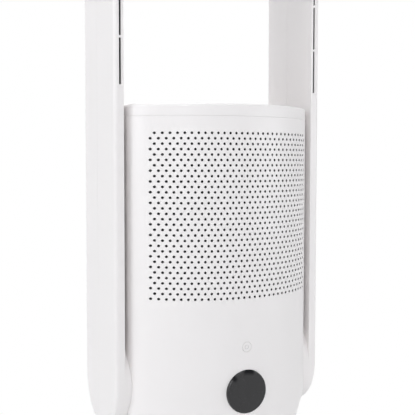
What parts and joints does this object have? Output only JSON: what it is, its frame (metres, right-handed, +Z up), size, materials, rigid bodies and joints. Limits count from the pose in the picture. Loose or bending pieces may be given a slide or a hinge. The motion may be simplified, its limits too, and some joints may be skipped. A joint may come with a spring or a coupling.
{
  "type": "air purifier",
  "caption": "Bladeless tower air purifier: perforated drum body held between the flat arms of a tall inverted-U air loop with slotted outlets, on a round swivelling base.",
  "frame": {"origin": "on the floor, under the swivel axis at the middle of the round base", "axes": "+Z up along the swivel axis, front with the display towards -Y, +X to the right seen from behind the front face looking along +Y"},
  "size_m": [0.2736, 0.27, 1.06],
  "materials": {
    "gloss_white": "satin-gloss moulded white",
    "white_frame": "satin white",
    "lens_black": "high gloss black",
    "grey_plastic": "matte",
    "dark_plastic": "matte",
    "acetal": "smooth natural",
    "cast_iron": "painted",
    "rubber": "matte",
    "foam": "matte foam",
    "filter_paper": "matte pleated",
    "zinc_steel": "zinc plated",
    "motor_can": "black coated",
    "circuit_board": "solder mask"
  },
  "bodies": {
    "base": {"base_plate": "grey_plastic", "base_cover": "gloss_white", "ballast_ring": "cast_iron", "rubber_feet": "rubber", "base_screws": "zinc_steel", "slide_ring": "acetal", "retaining_ring": "zinc_steel", "swivel_motor": "zinc_steel", "swivel_screws": "zinc_steel", "cord_gland": "dark_plastic"},
    "tower": {"arm_bracket_left": "zinc_steel", "arm_bracket_right": "zinc_steel", "arm_screws": "zinc_steel", "board_screws": "zinc_steel", "bottom_tray": "grey_plastic", "cap_screws": "zinc_steel", "carbon_core": "dark_plastic", "damper_ring": "rubber", "display_board": "circuit_board", "display_lens": "lens_black", "display_module": "grey_plastic", "duct_seal_left": "foam", "duct_seal_right": "foam", "duct_sleeve_left": "grey_plastic", "duct_sleeve_right": "grey_plastic", "fan_housing": "grey_plastic", "fan_motor": "motor_can", "filter_cap_high": "grey_plastic", "filter_cap_low": "grey_plastic", "filter_deck": "grey_plastic", "filter_gasket": "foam", "filter_media": "filter_paper", "front_cover": "gloss_white", "gear_sector": "acetal", "key_board": "circuit_board", "loop_front_arch": "gloss_white", "loop_front_shell": "gloss_white", "loop_rear_arch": "gloss_white", "loop_rear_shell": "gloss_white", "motor_mount": "grey_plastic", "motor_screws": "zinc_steel", "nozzle_liner_left": "dark_plastic", "nozzle_liner_right": "dark_plastic", "power_board": "circuit_board", "rear_lower_panel": "gloss_white", "side_frame_left": "white_frame", "side_frame_right": "white_frame", "strike_plates": "zinc_steel", "top_cap": "gloss_white", "top_deck": "grey_plastic", "turntable": "grey_plastic", "turntable_screws": "zinc_steel"},
    "swivel_pinion": {"swivel_pinion": "acetal"},
    "impeller": {"impeller": "dark_plastic", "impeller_nut": "zinc_steel", "motor_shaft": "zinc_steel"},
    "power_key": {"power_key": "gloss_white"},
    "rear_cover": {"rear_filter_cover": "gloss_white", "cover_magnets": "zinc_steel"}
  },
  "joints": [
    {"name": "tower_swivel", "type": "hinge", "parent": "base", "child": "tower", "pos_m": [0, 0, 0.026], "axis": [0, 0, 1], "range_deg": [-40, 40]},
    {"name": "pinion_spin", "type": "hinge", "parent": "base", "child": "swivel_pinion", "pos_m": [0, -0.04375, 0.02], "axis": [0, 0, 1], "range_deg": [-165, 165]},
    {"name": "impeller_spin", "type": "hinge", "parent": "tower", "child": "impeller", "pos_m": [0, 0, 0.18], "axis": [0, 0, 1], "continuous": true},
    {"name": "key_press", "type": "slide", "parent": "tower", "child": "power_key", "axis": [0, 1, 0], "range_m": [0, 0.0008], "stiffness_N_per_m": 400},
    {"name": "rear_cover_pull", "type": "slide", "parent": "tower", "child": "rear_cover", "axis": [0, 1, 0], "range_m": [0, 0.16]}
  ],
  "couplings": [
    {"joint": "pinion_spin", "follows": "tower_swivel", "ratio": -4}
  ]
}
